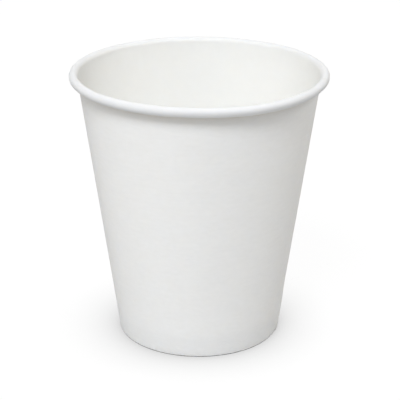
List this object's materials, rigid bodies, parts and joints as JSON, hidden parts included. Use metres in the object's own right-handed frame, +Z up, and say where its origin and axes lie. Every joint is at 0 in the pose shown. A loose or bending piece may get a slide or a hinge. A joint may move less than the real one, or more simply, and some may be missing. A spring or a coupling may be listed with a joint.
{
  "type": "paper coffee cup",
  "caption": "Tapered paper cup for hot drinks, with a rolled rim, a lapped side seam and a recessed floor held by a foot hem.",
  "frame": {"origin": "on the cup's axis at the plane the foot stands on", "axes": "+Z up along the cup's axis towards the rim, -Y towards the viewer of the picture, side seam near +X"},
  "size_m": [0.09, 0.09, 0.0963],
  "materials": {
    "wall_board": "white paperboard, matte outside, satin film coating inside and over the rolled rim",
    "floor_board": "white paperboard, satin film coating on the side that holds the drink"
  },
  "bodies": {
    "root": {"sidewall": "wall_board", "bottom_disc": "floor_board"}
  },
  "joints": []
}
